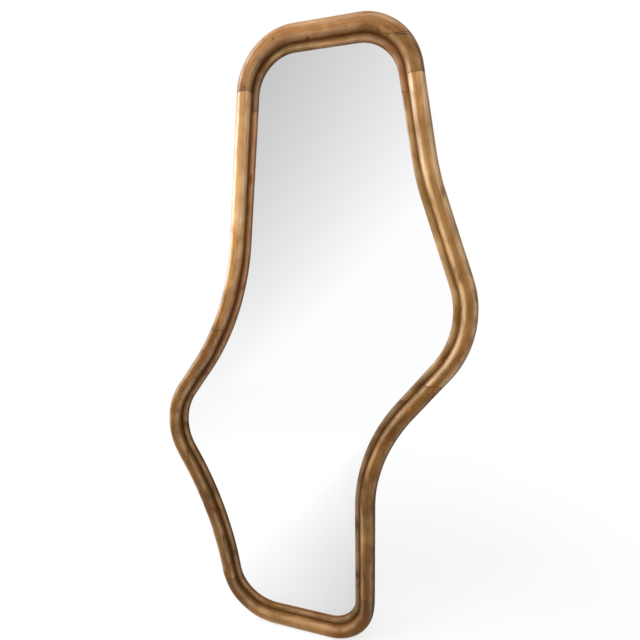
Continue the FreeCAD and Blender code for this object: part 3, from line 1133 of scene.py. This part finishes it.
@dataclass
class Fastener:
    """One kind of screw, head and shank in one closed surface, in millimetres.

    A flat head is countersunk: its edge drops a little and its side leans in to the shank. A
    round head has a low rim, and a small gap over its seat.
    """

    name: str
    node: str
    slot: str
    finish: Zinc
    places: np.ndarray
    flat_head: bool
    head_radius: float
    head_low: float
    head_high: float
    shank_radius: float
    shank_end: float
    recess: CrossRecess = field(default_factory=CrossRecess)
    point: float = 3.0
    edge_drop: float = 0.15
    edge_lean: tuple[float, float] = (0.1, 0.4)
    rim: float = 0.5
    gap: float = 0.02
    face_above: float = 0.3
    rings: int = 20
    steps: int = 72

    def profile(self) -> np.ndarray:
        """Radius and height from the middle of the head to the point.

        The head's face is flat for a countersunk screw. A round one rises from the rim to the
        crown by the square root of one minus the radius share to the power of 2.4.

        Returns:
            Points (radius, height), one row for each.
        """
        share = np.linspace(0.0, 1.0, self.rings)
        if self.flat_head:
            height = np.full(self.rings, self.head_high)
            height[-1] -= self.edge_drop
            lean_in, lean_down = self.edge_lean
            neck = [[self.head_radius - lean_in, self.head_high - lean_down]]
            shoulder = self.head_high - (self.head_radius - self.shank_radius)
        else:
            rise = self.head_high - self.head_low - self.rim
            bow = np.sqrt(np.clip(1.0 - share**2.4, 0.0, 1.0))
            height = self.head_low + self.rim + rise * bow
            shoulder = self.head_low + self.gap
            neck = [[self.head_radius, shoulder]]
        shank = [
            [self.shank_radius, shoulder],
            [self.shank_radius, self.shank_end + self.point],
            [0.0, self.shank_end],
        ]
        return np.concatenate([np.stack([share * self.head_radius, height], axis=1), neck, shank])

    def build(self) -> list[bpy.types.Object]:
        """Turn the screw, press the recess into its head, and copy it to its places.

        Returns:
            The dressed screws, as one piece.
        """
        points, quads, fans = lathe(self.profile(), self.steps)
        face = points[:, 1] > self.head_low + self.face_above
        points[:, 1] -= np.where(face, self.recess.sink(points[:, 0], points[:, 2]), 0.0)
        spins = np.random.default_rng(7).uniform(0.0, np.pi / 2, len(self.places))
        made = put_mesh(self.name, *repeated((points, quads, fans), self.places, spins))
        dress(made, self.finish.build(), self.node)
        return [made]


@dataclass
class WallBumpers:
    """Two rubber feet with a rounded rim, on the back of the bottom member, in millimetres.

    The dish starts a step in from the rim's core and down from the face, and has a flat floor
    of its own radius and depth.
    """

    places: dict[str, tuple[float, float]] = field(
        default_factory=lambda: {"left": (-99.0, -587.5), "right": (77.0, -587.5)}
    )
    radius: float = 8.0
    face_radius: float = 6.5
    height: float = 6.0
    rim: float = 1.0
    seat_edge: float = 0.3
    side_edge: float = 0.05
    dish_edge: tuple[float, float] = (1.5, 0.12)
    dish_floor: tuple[float, float] = (1.2, 0.35)
    steps: int = 56

    def profile(self) -> np.ndarray:
        """From the seat to the face: a leaning side, a quarter-round rim, and a shallow dish.

        Returns:
            Points (radius, height), one row for each.
        """
        angle = np.linspace(0.0, np.pi / 2, 9)
        core = self.face_radius - self.rim
        low = self.height - self.rim
        rim = np.stack([core + self.rim * np.cos(angle), low + self.rim * np.sin(angle)], axis=1)
        edge_in, edge_down = self.dish_edge
        floor_radius, floor_down = self.dish_floor
        dish = [
            [core - edge_in, self.height - edge_down],
            [floor_radius, self.height - floor_down],
            [0.0, self.height - floor_down],
        ]
        base = [
            [0.0, 0.0],
            [self.radius - self.seat_edge, 0.0],
            [self.radius - self.side_edge, self.seat_edge],
        ]
        return np.concatenate([base, rim, dish])

    def build(self) -> list[bpy.types.Object]:
        """Make both feet.

        Returns:
            The dressed feet.
        """
        material = Rubber().build()
        made = []
        for side, (x, z) in self.places.items():
            turned = lathe(self.profile(), self.steps)
            shape = repeated(turned, np.array([[x, 0.0, z]]), np.zeros(1))
            foot = put_mesh("rubber_foot_" + side, *shape)
            dress(foot, material, "wall_bumper_" + side)
            made.append(foot)
        return made


@dataclass
class KeptSolids:
    """Solids whose shape is right as it is, each given its finish."""

    finishes: dict[str, SilveredGlass | GreyCard | Hardboard | Zinc]

    def build(self) -> list[bpy.types.Object]:
        """Put the finish on each solid, with one material for each finish.

        Returns:
            The solids.
        """
        made = {}
        for node, finish in self.finishes.items():
            made[finish.name] = made.get(finish.name) or finish.build()
            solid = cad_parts[node]
            solid.data.materials.clear()
            solid.data.materials.append(made[finish.name])
        return [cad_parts[node] for node in self.finishes]


# ---------------------------------------------------------------- the room


@dataclass(frozen=True)
class Lamp:
    """A soft rectangular lamp aimed at the mirror's middle, in metres and watts."""

    name: str
    place: Triple
    size: tuple[float, float]
    watts: float

    def build(self) -> None:
        """Hang the lamp."""
        data = bpy.data.lights.new(self.name, "AREA")
        data.shape = "RECTANGLE"
        data.size, data.size_y = self.size
        data.energy = self.watts
        made = bpy.data.objects.new(self.name, data)
        made.location = self.place
        made.rotation_euler = (-Vector(self.place)).to_track_quat("-Z", "Y").to_euler()
        bpy.context.scene.collection.objects.link(made)


@dataclass(frozen=True)
class Studio:
    """Floor, background, lamps and camera, in metres."""

    lamps: tuple[Lamp, ...] = (
        Lamp("key", (-1.5, -1.0, 1.2), (1.0, 1.6), 56.0),
        Lamp("side", (-1.7, -0.1, 0.6), (0.3, 1.0), 16.0),
        Lamp("fill", (0.9, -1.65, 0.8), (0.25, 1.2), 6.0),
        Lamp("overhead", (0.2, -1.1, 1.9), (1.6, 0.8), 22.0),
        Lamp("behind", (0.5, 1.9, 0.6), (1.4, 1.4), 14.0),
    )
    camera_place: Triple = (0.1843, -0.6511, 0.1851)
    right: Triple = (0.9722, 0.2342, 0.0)
    up: Triple = (-0.0341, 0.1415, 0.9893)
    back: Triple = (0.2317, -0.9618, 0.1456)
    sensor: float = 36.0
    lens: float = 19.57
    ambient: float = 0.33
    floor_level: float = -0.6
    floor_gap: float = 0.0005
    floor_radius: float = 1.7
    floor_sides: int = 96
    floor_grey: Colour = (0.78, 0.78, 0.78, 1.0)

    def build(self) -> None:
        """Make everything that isn't part of the mirror."""
        self.camera()
        self.floor()
        self.background()
        for lamp in self.lamps:
            lamp.build()

    def camera(self) -> None:
        """The camera at the photograph's viewing angle."""
        data = bpy.data.cameras.new("camera")
        data.sensor_width = self.sensor
        data.lens = self.lens
        data.clip_start = 0.01
        made = bpy.data.objects.new("camera", data)
        turn = Matrix((self.right, self.up, self.back)).transposed()
        made.matrix_world = Matrix.Translation(self.camera_place) @ turn.to_4x4()
        bpy.context.scene.collection.objects.link(made)
        bpy.context.scene.camera = made

    def floor(self) -> None:
        """A wide pale floor that shows white and keeps the mirror's shadow.

        For rays from the camera, or by way of a reflection or clear glass, it is a mix of matt grey
        and a white glow. The glow's share rises from 0.75 at 0.35 m from the mirror to 1 at 1.1 m.
        In reflections the glow's strength falls near the foot of the mirror, a painted shadow, by
        1.17 x + 0.48 y + 0.412, held between 0 and 0.52 and fading from 0.5 to 1.1 m away, and by
        0.05 far out on the left, a painted shade.
        """
        turn = np.linspace(0.0, 2 * np.pi, self.floor_sides, endpoint=False)
        level = np.full(self.floor_sides, self.floor_level - self.floor_gap)
        x, y = self.floor_radius * np.cos(turn), self.floor_radius * np.sin(turn)
        mesh = bpy.data.meshes.new("floor")
        rim = np.stack([x, y, level], axis=1).tolist()
        mesh.from_pydata(rim, [], [list(range(self.floor_sides))])
        made = bpy.data.objects.new("floor", mesh)
        bpy.context.scene.collection.objects.link(made)
        s = Shader.material("floor")
        matt = s.node("ShaderNodeBsdfDiffuse", {}, {"Color": self.floor_grey})
        across, out = s.axis(s.place, "X"), s.axis(s.place, "Y")
        near = s.distance(s.place, (0.1, -0.1, self.floor_level)).step(1.1, 0.5)
        # Painted shadow near the mirror's foot, seen only in reflections.
        foot = (across * 1.17 + out * 0.48 + 0.412).within(0.0, 0.52) * near
        strength = 1.0 - (foot + across.step(-0.55, -1.05) * 0.05) * s.rays("Glossy")
        glow = s.node("ShaderNodeEmission", {}, {"Color": WHITE, "Strength": strength})
        away = s.distance(s.place, (0.0, 0.0, self.floor_level)).step(0.35, 1.1)
        seen = s.rays("Camera").larger(s.rays("Glossy")).larger(s.rays("Transmission"))
        share = seen * (away * 0.25 + 0.75)
        s.close(s.node("ShaderNodeMixShader", {}, {0: share, 1: matt, 2: glow}))
        mesh.materials.append(s.owner)

    def background(self) -> None:
        """White all round, a little greyer in reflections from high up on the left.

        In reflections the strength is 1.072 + 0.68 x - 0.6 z of the ray's direction, 0.02 more
        below the horizon, and held between 0.5 and 1. Light on the object is the ambient one.
        """
        world = bpy.data.worlds.new("studio")
        s = Shader(world)
        way = s.coordinates("Generated")
        rise = s.axis(way, "Z")
        tone = s.axis(way, "X") * 0.68 - rise * 0.60 + rise.step(-0.02, -0.25) * 0.02 + 1.072
        glossy = s.rays("Glossy")
        plain = s.rays("Camera").larger(s.rays("Transmission"))
        rest = 1.0 - plain.larger(glossy)
        strength = plain + glossy * tone.within(0.5, 1.0) * (1.0 - plain) + rest * self.ambient
        glow = s.node("ShaderNodeBackground", {}, {"Color": WHITE, "Strength": strength})
        s.close(glow, "ShaderNodeOutputWorld")
        bpy.context.scene.world = world


# ---------------------------------------------------------------- the mirror


def front_lengths() -> tuple[Length, ...]:
    """The lengths of the rounded bar, anticlockwise from the top.

    Returns:
        The seven lengths.
    """
    left, right = Flank.LEFT, Flank.RIGHT
    # The tone given to each length carries painted light and shade as well as the wood's own tone:
    # lighter on the upper left, darker towards the bottom.
    return (
        Length(
            "front_top_rail", Joint(right, 556.0), Joint(left, 500.0),
            tones_and_painted_light=(0.03, 0.11, -0.02), warmth=(0.15, 0.2, 0.05), finish=WaxedWood(
                "bar_top", slope=2.0, olive=0.0, seed=1.0,
                knots=(
                    Knot(10.6, 571.1, 4.4), Knot(-66.0, 577.0, 3.4), Knot(-49.1, 575.6, 2.8),
                    Knot(77.6, 576.5, 2.8), Knot(129.6, 566.1, 3.0), Knot(-104.0, 505.0, 3.4),
                ),
                stains=(
                    Stain(-79.7, 549.2, 20.0, linear(92, 62, 30), 0.5),
                    Stain(16.8, 585.3, 9.0, linear(112, 84, 34), 0.5),
                ),
            ),
        ),
        Length(
            "front_left_rail", Joint(left, 500.0), Joint(left, 62.0),
            tones_and_painted_light=(0.29, 0.40, -0.08), warmth=(0.08, 0.08, 0.12), wear_and_highlight_amount=1.6,
            finish=WaxedWood("bar_left", slope=1.5, olive=0.0, seed=2.0),
        ),
        Length(
            "front_lower_left_rail", Joint(left, 62.0), Joint(left, -504.0),
            tones_and_painted_light=(-0.16, -0.10, -0.18), warmth=(0.1, 0.12, 0.1), wear_and_highlight_amount=1.5, finish=WaxedWood(
                "bar_lower_left", slope=-3.0, olive=0.05, seed=3.0,
                knots=(Knot(-155.5, 54.0, 4.6), Knot(-236.0, -300.0, 3.0)),
                stains=(Stain(-189.4, -446.9, 7.0, linear(150, 66, 36), 0.6),),
            ),
        ),
        Length(
            "front_bottom_rail", Joint(left, -504.0), Joint(right, -486.0),
            tones_and_painted_light=(-0.26, 0.15, -0.48), warmth=(0.05, 0.05, 0.1), finish=WaxedWood(
                "bar_bottom", slope=2.0, olive=0.08, seed=4.0,
                knots=(Knot(78.9, -558.1, 3.6),),
            ),
        ),
        Length(
            "front_lower_right_rail", Joint(right, -486.0), Joint(right, -22.0),
            tones_and_painted_light=(-0.12, -0.08, -0.14), warmth=(0.0, 0.0, 0.1), finish=WaxedWood(
                "bar_lower_right", slope=3.0, olive=0.20, seed=5.6,
                knots=(Knot(215.0, -38.0, 3.2),),
                stains=(Stain(201.6, -68.4, 6.0, linear(160, 84, 44), 0.6),),
            ),
        ),
        Length(
            "front_right_rail", Joint(right, -22.0), Joint(right, 496.0),
            tones_and_painted_light=(-0.12, 0.14, 0.08), warmth=(0.05, 0.0, 0.0), wear_and_highlight_amount=2.4, finish=WaxedWood(
                "bar_right", slope=-2.0, olive=0.12, seed=6.0,
                knots=(Knot(281.0, 118.0, 3.0), Knot(262.0, 52.0, 3.6)),
            ),
        ),
        Length(
            "front_top_right_block", Joint(right, 496.0), Joint(right, 556.0),
            tones_and_painted_light=(-0.02, -0.12, -0.08), warmth=(0.1, 0.12, 0.12), finish=WaxedWood(
                "bar_block", slope=12.0, olive=0.05, seed=7.0,
                knots=(Knot(178.9, 532.6, 3.2),),
                splits=(Split((158.1, 554.9), (175.2, 551.1), 1.2),),
            ),
        ),
    )


def rear_lengths() -> tuple[Length, ...]:
    """The lengths of the rear layer, anticlockwise from the top.

    Returns:
        The six lengths.
    """
    left, right = Flank.LEFT, Flank.RIGHT
    # The tone given to each lip length carries painted shade as well as the wood's own tone.
    return (
        Length(
            "rear_top_rail", Joint(right, 473.0), Joint(left, 468.0),
            tones_and_painted_light=(-0.36, 0.14, -0.22), warmth=(0.6, 0.0, 0.1),
            finish=WaxedWood("lip_top", slope=1.0, olive=0.0, seed=8.0),
        ),
        Length(
            "rear_left_rail", Joint(left, 468.0), Joint(left, -38.0),
            tones_and_painted_light=(-0.20, -0.20, -0.20), warmth=(0.6, 0.5, 0.25), wear_and_highlight_amount=1.3,
            finish=WaxedWood("lip_left", slope=-2.0, olive=0.0, seed=9.0),
        ),
        Length(
            "rear_lower_left_rail", Joint(left, -38.0), Joint(left, -472.0),
            tones_and_painted_light=(-0.18, -0.20, -0.20), warmth=(0.2, 0.1, 0.1),
            finish=WaxedWood("lip_lower_left", slope=2.0, olive=0.15, seed=10.0),
        ),
        Length(
            "rear_bottom_rail", Joint(left, -472.0), Joint(right, -469.0),
            tones_and_painted_light=(-0.20, -0.08, -0.30), warmth=(0.1, 0.1, 0.1), wear_and_highlight_amount=0.9,
            finish=WaxedWood("lip_bottom", slope=-1.0, olive=0.05, seed=11.0),
        ),
        Length(
            "rear_lower_right_rail", Joint(right, -469.0), Joint(right, -57.0),
            tones_and_painted_light=(-0.18, -0.20, -0.22),
            finish=WaxedWood("lip_lower_right", slope=2.0, olive=0.10, seed=12.0),
        ),
        Length(
            "rear_right_rail", Joint(right, -57.0), Joint(right, 473.0),
            tones_and_painted_light=(-0.16, 0.17, 0.06),
            finish=WaxedWood("lip_right", slope=-1.0, olive=0.20, seed=13.0),
        ),
    )


def bar_section() -> Section:
    """The rounded bar in front of the rear layer.

    Returns:
        Its section.
    """
    front = -REAR_LAYER - FRONT_LAYER
    return Section((
        (0.0, -REAR_LAYER, 0.3), (0.0, front, 11.5), (29.0, front, 10.5), (29.0, -REAR_LAYER, 0.3),
    ))


def lip_section() -> Section:
    """The rear layer, with its lip and both rebates.

    Returns:
        Its section.
    """
    return Section((
        (0.0, -REAR_LAYER, 0.35), (40.0, -REAR_LAYER, 2.5), (40.0, -11.0, 0.4), (32.0, -11.0, 0.15),
        (32.0, -4.0, 0.2), (23.0, -4.0, 0.15), (23.0, 0.0, 0.3), (0.0, 0.0, 2.0),
    ), bend=6, run=4)


@dataclass(frozen=True)
class StrapScrews:
    """Where the hanger screws sit on the back of both upper members, in millimetres.

    Sides are the numbers of those members' straight sides on the outline.
    """

    sides: tuple[int, int] = (0, 8)
    pivot_height: float = 460.0
    pivot_inset: float = 12.5
    reaches: tuple[float, float] = (40.0, 26.0)
    seat: float = 1.2

    def places(self, outline: Outline) -> np.ndarray:
        """Seats of the screws: on the strap's face, by each reach down from its pivot.

        Args:
            outline: The frame's outline.

        Returns:
            Seats (x, y, z), one row for each screw.
        """
        corners = np.array(outline.corners)[:, :2]
        along = directions(corners)
        spots = []
        for side in self.sides:
            drop = (self.pivot_height - corners[side, 1]) / along[side, 1]
            inward = np.array([-along[side, 1], along[side, 0]])
            pivot = corners[side] + along[side] * drop + inward * self.pivot_inset
            down = along[side] * -np.sign(along[side, 1])
            spots.extend(pivot + down * reach for reach in self.reaches)
        x, z = np.array(spots).T
        return np.stack([x, np.full(len(x), self.seat), z], axis=1)


def sub_assemblies() -> tuple[WoodRing | Fastener | WallBumpers | KeptSolids, ...]:
    """The sub-assemblies of the mirror, in the order in which they are built.

    Returns:
        Makers, each with a build method.
    """
    outline = Outline()
    bright = Zinc("bright_zinc", linear(170, 172, 172), linear(122, 125, 128))
    yellow = Zinc("yellow_zinc", linear(188, 162, 98), linear(146, 126, 82), streak=0.05)
    ledge = outline.spots(inset=28.0, count=16)
    return (
        WoodRing(
            outline, bar_section(), front_lengths(),
            # Painted shade lines: the groove, the shaded inner round, and the seam between the
            # layers.
            painted_shade_lines=(
                (29.0, -16.5, 0.85, 1.3), (29.0, -19.0, 0.38, 3.2), (0.0, -17.0, 0.7, 3.0),
            ),
            # Painted highlights, partly real wear, on the bar's outer and inner rounds.
            wear_and_highlight_at=((6.5, -26.0), (24.5, -25.6)),
            slot="bar_wood",
        ),
        WoodRing(
            outline, lip_section(), rear_lengths(),
            # Painted shade lines: the groove, the seam between the layers, and the lip's inner
            # wall.
            painted_shade_lines=(
                (29.5, -16.0, 0.8, 1.5), (0.0, -15.0, 0.7, 2.5), (40.0, -12.0, 0.6, 1.6),
            ),
            # Painted highlight, partly real wear, on the lip's inner edge.
            wear_and_highlight_at=((38.0, -15.8),),
            slot="lip_wood",
            wobble=0.25,
        ),
        Fastener(
            "board_screw_set", "board_screws", "yellow_zinc", yellow,
            np.stack([ledge[:, 0], np.zeros(len(ledge)), ledge[:, 1]], axis=1),
            flat_head=True, head_radius=3.2, head_low=-0.7, head_high=0.0,
            shank_radius=1.6, shank_end=-13.0, recess=CrossRecess(1.7, 0.40, 1.0),
        ),
        Fastener(
            "hanger_screw_set", "hanger_screws", "bright_zinc", bright,
            StrapScrews().places(outline),
            flat_head=False, head_radius=3.4, head_low=0.0, head_high=2.0,
            shank_radius=1.7, shank_end=-14.0,
        ),
        WallBumpers(),
        KeptSolids({
            "mirror_pane": SilveredGlass(),
            "cardboard_pad": GreyCard(),
            "backing_board": Hardboard(),
            "hanger_strap_left": bright,
            "hanger_strap_right": bright,
            "hanger_ring_left": bright,
            "hanger_ring_right": bright,
        }),
    )


def main() -> None:
    """Build the studio and every piece of the mirror, and report each piece."""
    logging.basicConfig(level=logging.INFO, format="%(message)s")
    bpy.context.scene.view_settings.view_transform = "Standard"
    Studio().build()
    for maker in sub_assemblies():
        for piece in maker.build():
            log.info("%-28s %6d faces", piece.name, len(piece.data.polygons))


if __name__ == "__main__":
    main()
